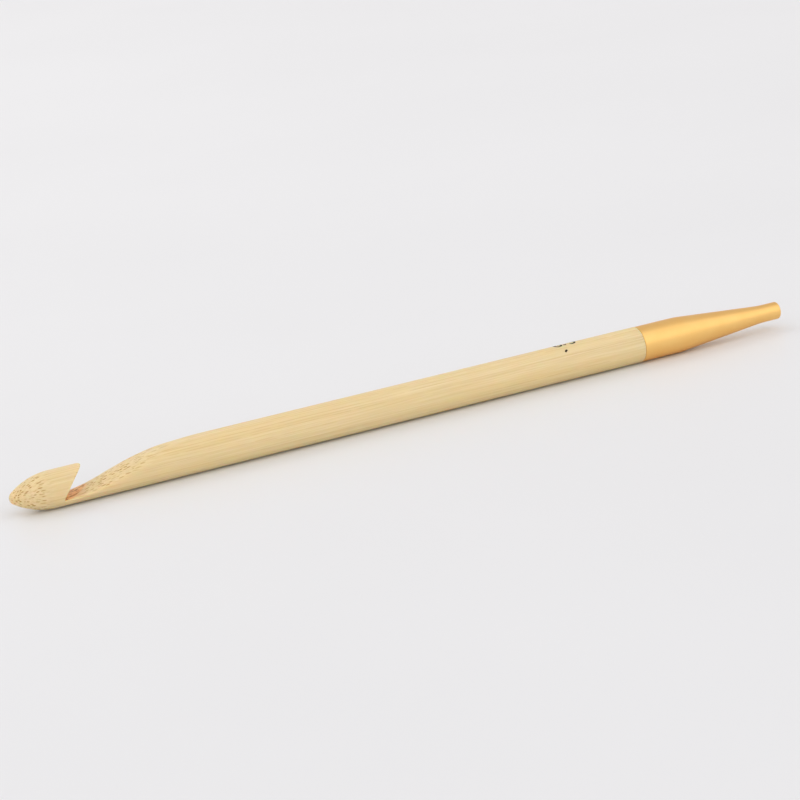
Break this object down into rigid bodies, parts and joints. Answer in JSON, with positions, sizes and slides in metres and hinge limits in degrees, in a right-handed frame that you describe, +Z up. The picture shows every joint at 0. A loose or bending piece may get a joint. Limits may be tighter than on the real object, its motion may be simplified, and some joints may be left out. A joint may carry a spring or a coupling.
{
  "type": "crochet hook",
  "caption": "Screw-on crochet hook: a slim wooden shaft with a notched hook head, glued into a tapered metal ferrule whose end takes a cable's screw.",
  "frame": {"origin": "on the surface the hook lies on, halfway along its length, under its axis", "axes": "+X along the hook from the nose to the ferrule's threaded end, +Z up, the way the mouth of the hook faces"},
  "size_m": [0.15, 0.0064, 0.0065],
  "materials": {
    "bamboo": "fine sanded pale bamboo with a thin wax finish",
    "gilt_metal": "satin gold-coloured plating on turned brass",
    "glue": "cured epoxy, hidden inside the joint"
  },
  "bodies": {
    "root": {"hook_shaft": "bamboo", "ferrule": "gilt_metal", "glue_film": "glue"}
  },
  "joints": []
}
